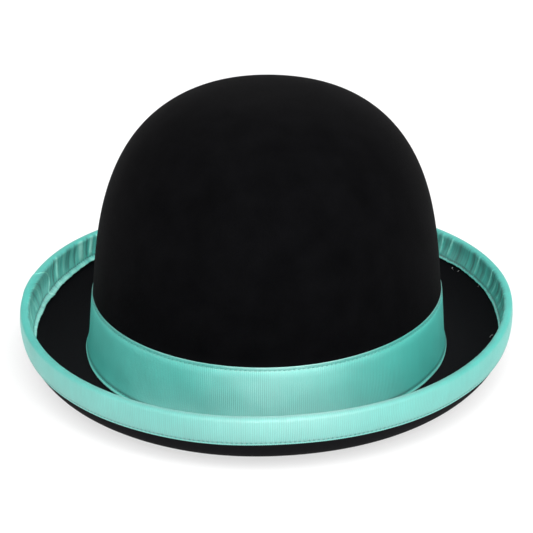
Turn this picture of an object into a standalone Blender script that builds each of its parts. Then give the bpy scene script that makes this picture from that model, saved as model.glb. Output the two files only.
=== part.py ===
"""Bowler hat of stiffened wool felt, with a grosgrain crown band and a bound, curled brim.

Metres, +Z up. The hat stands on the lowest ring of its brim at z = 0, its front faces -Y, and the
Z axis runs through the middle of the crown. +X is the wearer's left.

Every surface is placed from the outer face of the felt. An angle goes round the crown from +X
towards +Y. A height is measured up from the brim break, the line where the crown meets the brim.
A depth is measured into the felt from its outer face, so a ribbon that lies on the felt has a
negative depth, and the sweatband and the lining have depths greater than the felt's thickness.
A back distance is measured along the brim's upper face, inwards from the edge of the brim.
"""

import math

import bmesh
import bpy
from mathutils import Vector

# Crown, outside of the felt
HALF_WIDTH = 0.0865
HALF_LENGTH = 0.1038
CROWN_HEIGHT = 0.1277
CROWN_TAPER = 0.0785
HEIGHT_POWER = 3.89
WIDTH_POWER = 2.60
FELT = 0.0030

# Brim: each pair is at the sides of the hat, then at its front and back
BREAK_RADIUS = 0.0040
BRIM_DROP = 0.0013
FLAT = (0.0064, 0.0162)
CURL_RADIUS = 0.0203
CURL_END = (math.radians(94), math.radians(88))
LIP = 0.0023
NOSE = 0.0012
REST_TURN = math.radians(3.5)
BREAK_Z = BRIM_DROP + FELT

# Ribbons and threads
GAP = 0.0003
RIBBON = 0.00045
THREAD_RADIUS = 0.0002
BAND_TOP = (0.0297, 0.0281)
BAND_BOTTOM = 0.0002
BAND_FLARE = 0.0024
FLARE_HEIGHT = 0.0060
THREAD_INSET = 0.0016
BINDING_INSIDE = 0.0131
BINDING_OUTSIDE = 0.0108

# Where each ribbon starts, and the way round that it goes
BAND_JOIN = (math.radians(90), 1)
BINDING_JOIN = (math.radians(174), -1)

# Sweatband, with its welt and reed
LEATHER = 0.0009
SWEATBAND_DEPTH = FELT + 0.0015
SWEATBAND_BOTTOM = 0.0030
SWEATBAND_TOP = 0.0380
REED_RADIUS = 0.0007
REED_HEIGHT = 0.0014
WELT = 0.00035
JOIN_HALF_GAP = math.radians(0.3)
TAPE = 0.0003

# Lining
LINING_DEPTH = FELT + GAP
LINING = 0.0003
LINING_BOTTOM = 0.0200
PIPING_RADIUS = 0.0008

# Labels and bow
LABEL = 0.0003
LABEL_HALF_WIDTH = 0.0120
HEM_HEIGHT = (0.0345, 0.0375)
FLAP_LENGTH = 0.0250
LABEL_STANDOFF = 0.0011
HINGE_GAP = 0.0010
SIZE_LABEL_HEIGHT = (0.0130, 0.0250)
SIZE_LABEL_ANGLES = (math.radians(102), math.radians(108))
BOW_HEIGHT = 0.0120
BOW_HALF_ANGLE = math.radians(9)
BOW_LOOP = 0.0042
BOW_KNOT = 0.0018
BOW_THICKNESS = 0.0022

# Fineness
SEGMENTS = 60
STEP = 2 * math.pi / SEGMENTS
DOME_RISES = [math.radians(rise) for rise in (12, 20, 28, 37, 46, 56, 66, 76, 85)]
LINING_SEAM = 3
WALL_HEIGHTS = (SWEATBAND_TOP, LINING_BOTTOM)
CURL_STEPS = 8
BREAK_STEPS = 3
SMOOTH_ANGLE = math.radians(40)


def between(pair, angle):
    """The value at this angle, from the pair's value at the sides and its value at front and back."""
    share = (1 + math.cos(2 * angle)) / 2
    return pair[1] + (pair[0] - pair[1]) * share


def point(angle, scale, out, height):
    """A point on the scaled base oval, moved out along the oval's normal."""
    across = math.cos(angle) * HALF_LENGTH
    along = math.sin(angle) * HALF_WIDTH
    length = math.hypot(across, along)
    x = HALF_WIDTH * scale * math.cos(angle) + out * across / length
    y = HALF_LENGTH * scale * math.sin(angle) + out * along / length
    return Vector((x, y, BREAK_Z + height))


def crown_scale(height):
    share = min(max(height / CROWN_HEIGHT, 0), 1)
    return (1 - CROWN_TAPER * share) * (1 - share**HEIGHT_POWER) ** (1 / WIDTH_POWER)


def wall(angle, height, depth):
    """A point on the crown at this height, or under or over it by the depth."""
    nudge = 1e-5
    mean_radius = (HALF_WIDTH + HALF_LENGTH) / 2
    drawn_in = mean_radius * (crown_scale(height + nudge) - crown_scale(height - nudge))
    rise = 2 * nudge
    length = math.hypot(drawn_in, rise)
    lowered = depth * drawn_in / length
    return point(angle, crown_scale(height), -depth * rise / length, height + lowered)


def dome_height(rise):
    return CROWN_HEIGHT * math.sin(rise) ** (2 / HEIGHT_POWER)


def brim_slope(angle):
    """The downward slope of the brim's flat part, with which its lowest ring is one level line."""
    flat = between(FLAT, angle)
    reach = math.hypot(flat, CURL_RADIUS)
    return math.atan2(CURL_RADIUS, flat) - math.asin((CURL_RADIUS - BRIM_DROP) / reach)


def break_fillet(angle, share, depth):
    """A point on the fillet between the crown, at share 0, and the brim, at share 1."""
    slope = brim_slope(angle)
    turn = share * (math.pi / 2 - slope)
    centre_height = BREAK_RADIUS / math.cos(slope) - BREAK_RADIUS * math.tan(slope)
    radius = BREAK_RADIUS + depth
    out = BREAK_RADIUS - radius * math.cos(turn)
    height = centre_height - radius * math.sin(turn)
    scale = 1 - (1 - crown_scale(centre_height)) * (1 - share)
    return point(angle, scale, out, height)


def curl(angle, turn, depth):
    """A point on the brim's curl where its upper face has turned up to this angle."""
    slope = brim_slope(angle)
    flat = between(FLAT, angle)
    centre_out = flat * math.cos(slope) + CURL_RADIUS * math.sin(slope)
    centre_height = CURL_RADIUS * math.cos(slope) - flat * math.sin(slope)
    radius = CURL_RADIUS + depth
    out = centre_out + radius * math.sin(turn)
    return point(angle, 1, out, centre_height - radius * math.cos(turn))


def brim(angle, back, depth):
    """A point on the curl or the lip, by its distance back from the brim's edge."""
    end = between(CURL_END, angle)
    if back >= LIP:
        return curl(angle, end - (back - LIP) / CURL_RADIUS, depth)
    along = (LIP - back) * math.cos(end)
    up = (LIP - back) * math.sin(end)
    root = curl(angle, end, depth)
    ahead = point(angle, 1, along, up) - point(angle, 1, 0, 0)
    return root + ahead


def nose(angle, turn, grow):
    """A point round the brim's edge, from its upper face, at turn 0, to its outer face, at pi."""
    back = -(NOSE + grow) * math.sin(turn)
    depth = FELT / 2 - (FELT / 2 + grow) * math.cos(turn)
    return brim(angle, back, depth)


def rest_ring(angle, turn):
    """A point on the flat ring that the hat stands on."""
    spot = curl(angle, turn, FELT)
    spot.z = 0
    return spot


def full_turn():
    return [i * STEP for i in range(SEGMENTS)]


def lapped_turn(join):
    """Angles of a ribbon that goes once round and one step over its own start."""
    start, way = join
    return [start + way * i * STEP for i in range(SEGMENTS + 2)]


def thread_turn(join):
    """Angles of a thread that starts where the ribbon's lap ends, and runs on over the lap."""
    return lapped_turn(join)[1:]


def lap_lift(angle, join):
    """How far a ribbon stands off where it crosses its own start."""
    start, way = join
    return RIBBON + GAP if way * (angle - start) > (SEGMENTS - 0.5) * STEP else 0


def material(name, colour, roughness, sheen):
    made = bpy.data.materials.new(name)
    made.use_nodes = True
    shader = made.node_tree.nodes["Principled BSDF"]
    shader.inputs["Base Color"].default_value = (*colour, 1)
    shader.inputs["Roughness"].default_value = roughness
    shader.inputs["Metallic"].default_value = 0
    shader.inputs["Sheen Weight"].default_value = sheen
    return made


def add_piece(name, mesh, paint, origin=(0, 0, 0)):
    """Makes the object, with its origin at this point of the hat, under the hat's empty."""
    bmesh.ops.recalc_face_normals(mesh, faces=mesh.faces[:])
    bmesh.ops.translate(mesh, verts=mesh.verts[:], vec=-Vector(origin))
    data = bpy.data.meshes.new(name)
    mesh.to_mesh(data)
    mesh.free()
    data.materials.append(paint)
    data.shade_smooth()
    data.set_sharp_from_angle(angle=SMOOTH_ANGLE)
    piece = bpy.data.objects.new(name, data)
    piece.location = origin
    piece.parent = bpy.data.objects["hat"]
    bpy.context.scene.collection.objects.link(piece)
    return piece


def bridge(mesh, first, second, closed):
    """Quads between two rows of vertices."""
    count = len(first)
    for i in range(count if closed else count - 1):
        j = (i + 1) % count
        mesh.faces.new((first[i], first[j], second[j], second[i]))


def sweep(name, section, angles, paint, origin=(0, 0, 0)):
    """Sweeps a closed section round the hat. Each entry of section gives a point for an angle.

    Angles that make a whole turn give a closed ring, and any others a strip with flat ends.
    """
    whole = len(angles) == SEGMENTS
    mesh = bmesh.new()
    rows = [[mesh.verts.new(place(angle)) for angle in angles] for place in section]
    for row, following in zip(rows, rows[1:] + rows[:1]):
        bridge(mesh, row, following, whole)
    if not whole:
        mesh.faces.new([row[0] for row in rows])
        mesh.faces.new([row[-1] for row in reversed(rows)])
    return add_piece(name, mesh, paint, origin)


def dome(name, section, top, bottom, paint, origin=(0, 0, 0)):
    """Sweeps an open section round the hat, and closes it with a point at either end."""
    mesh = bmesh.new()
    rows = [[mesh.verts.new(place(angle)) for angle in full_turn()] for place in section]
    for row, following in zip(rows, rows[1:]):
        bridge(mesh, row, following, True)
    for row, peak in ((rows[0], top), (rows[-1], bottom)):
        tip = mesh.verts.new(peak)
        for i in range(SEGMENTS):
            mesh.faces.new((row[i], row[(i + 1) % SEGMENTS], tip))
    return add_piece(name, mesh, paint, origin)


def on_wall(height, depth):
    return lambda angle: wall(angle, height, depth)


def crown_rows(depth, rises):
    return [on_wall(dome_height(rise), depth) for rise in rises]


def peak(depth):
    return Vector((0, 0, BREAK_Z + CROWN_HEIGHT - depth))


def felt_face(depth):
    """Rows down the crown and out along the brim, on the outer face or, at FELT, the inner face."""
    rows = crown_rows(depth, reversed(DOME_RISES))
    rows += [on_wall(height, depth) for height in WALL_HEIGHTS]
    for step in range(BREAK_STEPS + 1):
        rows.append(lambda angle, s=step / BREAK_STEPS: break_fillet(angle, s, depth))
    return rows


def curl_row(step, depth):
    """A row a whole number of steps round the curl, which starts at the brim's flat part."""

    def place(angle):
        start = -brim_slope(angle)
        end = between(CURL_END, angle)
        return curl(angle, start + (end - start) * step / CURL_STEPS, depth)

    return place


def make_felt(paint):
    upper = felt_face(0)
    upper += [curl_row(step, 0) for step in range(CURL_STEPS + 1)]
    rim = [lambda angle, t=math.pi * i / 4: nose(angle, t, 0) for i in range(5)]
    under = [curl_row(step, FELT) for step in range(CURL_STEPS, 1, -1)]
    under.append(lambda angle: rest_ring(angle, REST_TURN))
    under.append(lambda angle: rest_ring(angle, -REST_TURN))
    inside = list(reversed(felt_face(FELT)))
    dome("felt_body", upper + rim + under + inside, peak(0), peak(FELT), paint)


def band_height(angle, share):
    return BAND_BOTTOM + (between(BAND_TOP, angle) - BAND_BOTTOM) * share


def band_point(angle, height, over):
    """A point this far over the felt, where the ribbon flares out towards its lower edge."""
    flare = BAND_FLARE * math.exp(-(height - BAND_BOTTOM) / FLARE_HEIGHT)
    lift = lap_lift(angle, BAND_JOIN)
    return wall(angle, height, -(over + flare + lift))


def make_hat_band(ribbon, thread):
    shares = (0, 0.07, 0.16, 0.32, 0.64, 1)

    def row(share, over):
        return lambda angle: band_point(angle, band_height(angle, share), over)

    outside = [row(share, GAP + RIBBON) for share in shares]
    inside = [row(share, GAP) for share in reversed(shares)]
    origin = (0, 0, BREAK_Z)
    sweep("hat_band", outside + inside, lapped_turn(BAND_JOIN), ribbon, origin)
    make_band_thread("band_top_thread", 1, -THREAD_INSET, thread)
    make_band_thread("band_bottom_thread", 0, THREAD_INSET, thread)


def make_band_thread(name, share, inset, paint):
    over = 2 * GAP + RIBBON + THREAD_RADIUS

    def row(up, out):
        return lambda angle: band_point(angle, band_height(angle, share) + inset + up, over + out)

    sweep(name, thread_section(row), thread_turn(BAND_JOIN), paint, (0, 0, BREAK_Z))


def thread_section(row):
    """The four rows of a thread, from a function of the offsets across and out of its seam."""
    r = THREAD_RADIUS
    return [row(r, 0), row(0, r), row(-r, 0), row(0, -r)]


def make_brim_binding(ribbon, thread):
    inside_backs = (BINDING_INSIDE, 0.0100, 0.0070, 0.0040)
    outside_backs = (0.0040, 0.0075, BINDING_OUTSIDE)
    turns = [math.pi * i / 4 for i in range(5)]

    def row_inside(back, over):
        return lambda angle: brim(angle, back, -over - lap_lift(angle, BINDING_JOIN))

    def row_edge(turn, over):
        return lambda angle: nose(angle, turn, over + lap_lift(angle, BINDING_JOIN))

    def row_outside(back, over):
        return lambda angle: brim(angle, back, FELT + over + lap_lift(angle, BINDING_JOIN))

    def skin(over):
        rows = [row_inside(back, over) for back in inside_backs]
        rows += [row_edge(turn, over) for turn in turns]
        return rows + [row_outside(back, over) for back in outside_backs]

    section = skin(GAP) + list(reversed(skin(GAP + RIBBON)))
    sweep("brim_binding", section, lapped_turn(BINDING_JOIN), ribbon)

    over = 2 * GAP + RIBBON + THREAD_RADIUS

    def seam_inside(across, out):
        return row_inside(BINDING_INSIDE - THREAD_INSET + across, over + out)

    def seam_outside(across, out):
        return row_outside(BINDING_OUTSIDE - THREAD_INSET + across, over + out)

    turn = thread_turn(BINDING_JOIN)
    sweep("binding_inner_thread", thread_section(seam_inside), turn, thread)
    sweep("binding_outer_thread", thread_section(seam_outside), turn, thread)


def slab(bottom, top, near, far):
    """The section of a flat strip on the crown's inside, between two heights and two depths."""
    heights = [bottom] + [h for h in reversed(WALL_HEIGHTS) if bottom < h < top] + [top]
    rows = [on_wall(height, near) for height in heights]
    return rows + [on_wall(height, far) for height in reversed(heights)]


def open_turn():
    """Angles of a strip that goes round from one side of the back seam to its other side."""
    back = math.pi / 2
    inner = [back + i * STEP for i in range(1, SEGMENTS)]
    return [back + JOIN_HALF_GAP] + inner + [back + 2 * math.pi - JOIN_HALF_GAP]


def round_section(height, depth, radius, sides):
    """The section of a cord on the crown's inside."""
    turns = [2 * math.pi * i / sides for i in range(sides)]
    return [on_wall(height + radius * math.cos(t), depth + radius * math.sin(t)) for t in turns]


def make_sweatband(leather, plastic, cloth, thread):
    near = SWEATBAND_DEPTH
    far = near + LEATHER
    section = slab(SWEATBAND_BOTTOM, SWEATBAND_TOP, near, far)
    origin = (0, 0, BREAK_Z + SWEATBAND_BOTTOM)
    sweep("sweatband", section, open_turn(), leather, origin)

    seam_depth = far + GAP + THREAD_RADIUS
    seam = round_section(SWEATBAND_BOTTOM + THREAD_INSET, seam_depth, THREAD_RADIUS, 4)
    sweep("sweatband_thread", seam, open_turn(), thread, origin)

    reed_depth = near + LEATHER / 2
    reed = round_section(REED_HEIGHT, reed_depth, REED_RADIUS, 6)
    sweep("sweatband_reed", reed, open_turn(), plastic, origin)

    def welt_rows(radius):
        top = SWEATBAND_BOTTOM - GAP
        arc = [math.pi * i / 4 for i in range(5)]
        rows = [on_wall(top, reed_depth - radius)]
        for turn in arc:
            up = -radius * math.sin(turn)
            rows.append(on_wall(REED_HEIGHT + up, reed_depth - radius * math.cos(turn)))
        rows.append(on_wall(top, reed_depth + radius))
        return rows

    inner_radius = REED_RADIUS + GAP
    welt = welt_rows(inner_radius) + list(reversed(welt_rows(inner_radius + WELT)))
    sweep("sweatband_welt", welt, open_turn(), cloth, origin)

    tape_far = near - GAP
    tape = slab(SWEATBAND_BOTTOM, SWEATBAND_TOP, tape_far - TAPE, tape_far)
    tape_angles = [math.pi / 2 + STEP * side for side in (-1, 0, 1)]
    sweep("sweatband_join_tape", tape, tape_angles, cloth, origin)


def make_lining(satin, cord):
    near = LINING_DEPTH
    far = near + LINING
    seam_height = dome_height(DOME_RISES[LINING_SEAM])
    heights = list(reversed(WALL_HEIGHTS))
    heights += [dome_height(rise) for rise in DOME_RISES[:LINING_SEAM]]
    heights.append(seam_height - GAP)
    side = [on_wall(height, near) for height in heights]
    side += [on_wall(height, far) for height in reversed(heights)]
    sweep("lining_side", side, full_turn(), satin, (0, 0, BREAK_Z + LINING_BOTTOM))

    rises = DOME_RISES[LINING_SEAM + 1 :]
    under_felt = crown_rows(near, reversed(rises)) + [on_wall(seam_height + GAP, near)]
    over_head = [on_wall(seam_height + GAP, far)] + crown_rows(far, rises)
    origin = (0, 0, BREAK_Z + seam_height)
    dome("lining_tip", under_felt + over_head, peak(near), peak(far), satin, origin)

    piping = round_section(seam_height, far + GAP + PIPING_RADIUS, PIPING_RADIUS, 6)
    sweep("lining_piping", piping, full_turn(), cord, origin)


def make_size_label(cloth):
    near = SWEATBAND_DEPTH + LEATHER + GAP
    low, high = SIZE_LABEL_HEIGHT
    section = slab(low, high, near, near + LABEL)
    sweep("size_label", section, SIZE_LABEL_ANGLES, cloth, (0, 0, BREAK_Z + low))


def make_bow(ribbon):
    """A flat bow over the sweatband's back seam: two loops, drawn in at the knot."""
    near = SWEATBAND_DEPTH + LEATHER + GAP
    half_steps = 4

    def row(up, depth):
        def place(angle):
            share = min(abs(angle - math.pi / 2) / BOW_HALF_ANGLE, 1)
            half = BOW_KNOT + (BOW_LOOP - BOW_KNOT) * math.sin(share * math.pi / 2)
            return wall(angle, BOW_HEIGHT + up * half, depth)

        return place

    far = near + BOW_THICKNESS
    section = [row(-1, near), row(1, near), row(1, far), row(-1, far)]
    offsets = [i / half_steps for i in range(-half_steps, half_steps + 1)]
    angles = [math.pi / 2 + BOW_HALF_ANGLE * share for share in offsets]
    sweep("sweatband_bow", section, angles, ribbon, (0, 0, BREAK_Z + BOW_HEIGHT))


def flat_label(name, bottom, top, outer_x, paint, origin):
    """A flat piece of label tape that faces the middle of the hat from the +X side."""
    mesh = bmesh.new()
    bmesh.ops.create_cube(mesh, size=1)
    size = (LABEL, 2 * LABEL_HALF_WIDTH, top - bottom)
    bmesh.ops.scale(mesh, verts=mesh.verts[:], vec=size)
    centre = (outer_x - LABEL / 2, 0, (bottom + top) / 2)
    bmesh.ops.translate(mesh, verts=mesh.verts[:], vec=centre)
    return add_piece(name, mesh, paint, origin)


def make_care_label(cloth):
    """A hem sewn to the sweatband, and the flap that hangs from it and swings about its edge."""
    low, high = HEM_HEIGHT
    face = wall(0, low, SWEATBAND_DEPTH + LEATHER)
    outer_x = face.x - LABEL_STANDOFF
    hinge = (outer_x - LABEL / 2, 0, BREAK_Z + low - HINGE_GAP)
    flat_label("care_label_hem", BREAK_Z + low, BREAK_Z + high, outer_x, cloth, hinge)
    flap_top = hinge[2] - GAP
    flat_label("care_label_flap", flap_top - FLAP_LENGTH, flap_top, outer_x, cloth, hinge)


def clear_scene():
    for old in list(bpy.data.objects):
        bpy.data.objects.remove(old)


def main():
    clear_scene()
    bpy.context.scene.collection.objects.link(bpy.data.objects.new("hat", None))
    felt = material("black_felt", (0.004, 0.004, 0.0045), 0.9, 0.1)
    ribbon = material("mint_grosgrain", (0.045, 0.40, 0.345), 0.5, 0.1)
    thread = material("mint_thread", (0.06, 0.36, 0.32), 0.6, 0)
    leather = material("tan_leather", (0.30, 0.17, 0.09), 0.45, 0)
    plastic = material("clear_reed", (0.75, 0.74, 0.70), 0.35, 0)
    cloth = material("black_tape", (0.02, 0.02, 0.022), 0.8, 0)
    satin = material("black_satin", (0.02, 0.02, 0.025), 0.3, 0)
    label = material("white_label", (0.80, 0.80, 0.78), 0.6, 0)
    make_felt(felt)
    make_hat_band(ribbon, thread)
    make_brim_binding(ribbon, thread)
    make_sweatband(leather, plastic, cloth, thread)
    make_lining(satin, cloth)
    make_size_label(label)
    make_bow(cloth)
    make_care_label(label)


main()
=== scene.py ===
"""Bowler hat: the detailed model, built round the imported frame.

Metres, +Z up, in the frame's own axes. The hat stands on z = 0 and its front faces -Y. Angles go
round the crown from +X towards +Y. A height is measured up from the brim break, a depth goes into
the felt from its outer face, and a back distance runs inwards along the brim's upper face from the
edge of the brim. Crown and brim start from the CAD's formulas and sizes. The band's flare, the
binding's edges and tucks and the lining's folds are this script's own, and finer than the CAD's.
"""

import math

import bmesh
import bpy
import numpy as np
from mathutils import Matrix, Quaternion, Vector


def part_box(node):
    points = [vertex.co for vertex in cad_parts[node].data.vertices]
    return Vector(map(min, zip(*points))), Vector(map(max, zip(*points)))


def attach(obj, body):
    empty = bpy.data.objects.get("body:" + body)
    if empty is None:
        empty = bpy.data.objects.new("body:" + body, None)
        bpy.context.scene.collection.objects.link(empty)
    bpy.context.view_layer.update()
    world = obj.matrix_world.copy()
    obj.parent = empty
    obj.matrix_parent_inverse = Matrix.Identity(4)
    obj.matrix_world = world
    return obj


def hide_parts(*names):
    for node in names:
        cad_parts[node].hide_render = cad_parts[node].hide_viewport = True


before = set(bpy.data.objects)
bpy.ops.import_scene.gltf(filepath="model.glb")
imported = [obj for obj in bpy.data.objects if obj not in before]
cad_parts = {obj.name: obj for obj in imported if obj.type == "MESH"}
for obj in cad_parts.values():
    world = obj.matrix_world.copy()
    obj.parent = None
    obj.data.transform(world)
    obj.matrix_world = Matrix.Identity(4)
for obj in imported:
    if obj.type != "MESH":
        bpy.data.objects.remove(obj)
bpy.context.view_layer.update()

# The CAD's own sizes
HALF_WIDTH = 0.0865
HALF_LENGTH = 0.1038
CROWN_HEIGHT = 0.1277
CROWN_TAPER = 0.0785
HEIGHT_POWER = 3.89
WIDTH_POWER = 2.60
FELT = 0.0030
BRIM_DROP = 0.0013
FLAT = (0.0064, 0.0162)
CURL_RADIUS = 0.0203
CURL_END = (math.radians(94), math.radians(88))
LIP = 0.0023
NOSE = 0.0012
BREAK_Z = BRIM_DROP + FELT
BAND_TOP = (0.0297, 0.0281)
BAND_BOTTOM = 0.0002
BINDING_OUTSIDE = 0.0108
LEATHER = 0.0009
SWEATBAND_DEPTH = FELT + 0.0015
SWEATBAND_BOTTOM = 0.0030
SWEATBAND_TOP = 0.0380
REED_RADIUS = 0.0007
REED_HEIGHT = 0.0014
LINING_BOTTOM = 0.0200
LINING_SEAM_RISE = math.radians(37)
BACK = math.pi / 2
TURN = 2 * math.pi

# Unlike the CAD's: the fillet at the crown's foot, how high the band's flare and its lip reach, and
# how far the binding's outer seam lies from its edge
BREAK_RADIUS = 0.0028
FLARE_HEIGHT = 0.0080
LIP_HEIGHT = 0.0028
OUTER_SEAM = 0.0010

# The ribbon and its stitches
BAND_WIDTH = 0.0300
RIB = 0.00095
RIB_HEIGHT = 0.00013
UNDER = 0.00012
CLOTH = 0.00036
EDGE = 0.0060
BAND_STITCH = 0.0023
BINDING_STITCH = 0.0021
STITCH_RADIUS = 0.00018
STITCH_DIVE = 0.0003


def between(pair, angle):
    """The value at this angle, from the pair's value at the sides and its value at front and back."""
    return pair[1] + (pair[0] - pair[1]) * (1 + np.cos(2 * angle)) / 2


def smooth(value, low, high):
    """0 below low and 1 above high, with an easy turn between them."""
    share = np.clip((value - low) / (high - low), 0, 1)
    return share * share * (3 - 2 * share)


def full_turn(count):
    return np.linspace(0, TURN, count, endpoint=False)


def hump(value, centre, width):
    """1 at the centre, and falling away to either side."""
    return np.exp(-(((value - centre) / width) ** 2))


def joined(x, y, z):
    return np.stack(np.broadcast_arrays(x, y, z), axis=-1)


def point(angle, scale, out, height):
    """Points on the scaled base oval, moved out along the oval's normal."""
    across = np.cos(angle) * HALF_LENGTH
    along = np.sin(angle) * HALF_WIDTH
    length = np.hypot(across, along)
    x = HALF_WIDTH * scale * np.cos(angle) + out * across / length
    y = HALF_LENGTH * scale * np.sin(angle) + out * along / length
    return joined(x, y, BREAK_Z + height)


def crown_scale(height):
    share = np.clip(height / CROWN_HEIGHT, 0, 1)
    return (1 - CROWN_TAPER * share) * (1 - share**HEIGHT_POWER) ** (1 / WIDTH_POWER)


def wall(angle, height, depth):
    """Points on the crown at this height, or under or over it by the depth."""
    nudge = 1e-5
    mean_radius = (HALF_WIDTH + HALF_LENGTH) / 2
    drawn_in = mean_radius * (crown_scale(height + nudge) - crown_scale(height - nudge))
    rise = 2 * nudge
    length = np.hypot(drawn_in, rise)
    lowered = depth * drawn_in / length
    return point(angle, crown_scale(height), -depth * rise / length, height + lowered)


def dome_height(rise):
    return CROWN_HEIGHT * np.sin(rise) ** (2 / HEIGHT_POWER)


def peak(depth):
    return np.array((0, 0, BREAK_Z + CROWN_HEIGHT - depth))


def brim_slope(angle):
    flat = between(FLAT, angle)
    reach = np.hypot(flat, CURL_RADIUS)
    return np.arctan2(CURL_RADIUS, flat) - np.arcsin((CURL_RADIUS - BRIM_DROP) / reach)


def break_fillet(angle, share, depth):
    """Points on the fillet between the crown, at share 0, and the brim, at share 1."""
    slope = brim_slope(angle)
    turn = share * (math.pi / 2 - slope)
    centre_height = BREAK_RADIUS / np.cos(slope) - BREAK_RADIUS * np.tan(slope)
    radius = BREAK_RADIUS + depth
    scale = 1 - (1 - crown_scale(centre_height)) * (1 - share)
    out = BREAK_RADIUS - radius * np.cos(turn)
    return point(angle, scale, out, centre_height - radius * np.sin(turn))


def curl(angle, turn, depth):
    """Points on the brim's curl where its upper face has turned up to this angle."""
    slope = brim_slope(angle)
    flat = between(FLAT, angle)
    centre_out = flat * np.cos(slope) + CURL_RADIUS * np.sin(slope)
    centre_height = CURL_RADIUS * np.cos(slope) - flat * np.sin(slope)
    radius = CURL_RADIUS + depth
    out = centre_out + radius * np.sin(turn)
    return point(angle, 1, out, centre_height - radius * np.cos(turn))


def brim(angle, back, depth):
    """Points on the curl or the lip, by their distance back from the brim's edge."""
    end = between(CURL_END, angle)
    root = curl(angle, end - np.maximum(back - LIP, 0) / CURL_RADIUS, depth)
    ahead = np.maximum(LIP - back, 0)
    return root + point(angle, 1, ahead * np.cos(end), ahead * np.sin(end)) - point(angle, 1, 0, 0)


def nose(angle, turn, grow):
    """Points round the brim's edge, from its upper face, at turn 0, to its outer face, at pi."""
    ahead, aside = np.clip(np.sin(turn), 0, 1) ** 0.8, np.cos(turn)
    aside = np.sign(aside) * np.abs(aside) ** 0.75
    return brim(angle, -(NOSE + grow) * ahead, FELT / 2 - (FELT / 2 + grow) * aside)


def waves(angle, seed, strengths):
    """A smooth random line round the hat, made of this many whole waves and more."""
    random = np.random.default_rng(seed)
    total = 0
    for count, strength in strengths:
        total = total + strength * np.sin(count * angle + random.uniform(0, TURN))
    return total


def settle(places):
    """The hat's own soft unevenness, the same for the felt and for everything on it."""
    x, y, z = places[..., 0], places[..., 1], places[..., 2]
    angle = np.arctan2(y / HALF_LENGTH, x / HALF_WIDTH)
    spread = np.hypot(x / HALF_WIDTH, y / HALF_LENGTH)
    rim = smooth(spread, 1.15, 1.36)
    crown = smooth(z, 0.030, 0.080)
    out = crown * waves(angle + z * 9, 11, ((2, 0.00022), (3, 0.00022), (5, 0.00012)))
    up = rim * waves(angle, 12, ((2, 0.0002), (3, 0.0003), (5, 0.0002), (9, 0.00008)))
    moved = places.copy()
    moved[..., 0] += out * np.cos(angle)
    moved[..., 1] += out * np.sin(angle)
    moved[..., 2] = np.maximum(z + up, 0)
    return moved


def even_angles(place, start, end, step):
    """Angles an even length apart along a line round the hat, and the line's length."""
    fine = np.linspace(start, end, 6000)
    run = np.linalg.norm(np.diff(place(fine), axis=0), axis=1)
    run = np.concatenate(([0], np.cumsum(run)))
    count = max(round(run[-1] / step), 1)
    return np.interp(np.linspace(0, run[-1], count + 1), run, fine), run[-1]


class Paint:
    """A material, and the nodes that it is made of."""

    def __init__(self, name, colour, roughness, sheen=0.0, **uniform):
        self.material = bpy.data.materials.new(name)
        self.material.use_nodes = True
        self.tree = self.material.node_tree
        self.shader = self.tree.nodes["Principled BSDF"]
        self.set("Base Color", (*colour, 1))
        self.set("Roughness", roughness)
        self.set("Sheen Weight", sheen)
        for key, value in uniform.items():
            self.set(key.replace("_", " "), value)

    def set(self, key, value):
        """Gives one of the shader's sockets a value, or joins it to a node."""
        if isinstance(value, bpy.types.NodeSocket):
            self.tree.links.new(value, self.shader.inputs[key])
        else:
            self.shader.inputs[key].default_value = value

    def add(self, kind, inputs=(), output=0, **settings):
        made = self.tree.nodes.new("ShaderNode" + kind)
        for key, value in settings.items():
            setattr(made, key, value)
        for key, value in dict(inputs).items():
            if isinstance(value, bpy.types.NodeSocket):
                self.tree.links.new(value, made.inputs[key])
            else:
                made.inputs[key].default_value = value
        return made.outputs[output]

    def math(self, operation, *values):
        return self.add("Math", enumerate(values), operation=operation)

    def times(self, first, second):
        return self.math("MULTIPLY", first, second)

    def plus(self, first, second):
        return self.math("ADD", first, second)

    def spread(self, value, low, high, to_low, to_high):
        inputs = {0: value, 1: low, 2: high, 3: to_low, 4: to_high}
        return self.add("MapRange", inputs)

    def blend(self, factor, first, second):
        """A colour between two others."""
        inputs = {0: factor, 6: first, 7: second}
        return self.add("Mix", inputs, output=2, data_type="RGBA")

    def colour(self, factor, first, second):
        self.set("Base Color", self.blend(factor, first, second))

    def noise(self, scale, detail=3, stretch=None, places=None):
        """Noise in the piece's own coordinates, in metres."""
        where = places or self.add("TexCoord", output=3)
        if stretch:
            where = self.add("Mapping", {0: where, 3: stretch})
        return self.add("TexNoise", {"Vector": where, "Scale": scale, "Detail": detail})

    def split(self, vector, axis):
        return self.add("SeparateXYZ", {0: vector}, output=axis)

    def weave(self):
        """The distances along and across a woven piece, in metres."""
        return self.add("UVMap", uv_map="weave")

    def threads(self, distance, pitch):
        """Round threads side by side, from 0 between them to 1 on their crowns."""
        turn = self.times(distance, math.pi / pitch)
        return self.math("ABSOLUTE", self.math("SINE", turn))

    def bump(self, height, distance, onto=None):
        inputs = {"Height": height, "Distance": distance}
        if onto:
            inputs["Normal"] = onto
        return self.add("Bump", inputs)

    def relief(self, height, distance, onto=None):
        self.set("Normal", self.bump(height, distance, onto))


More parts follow.
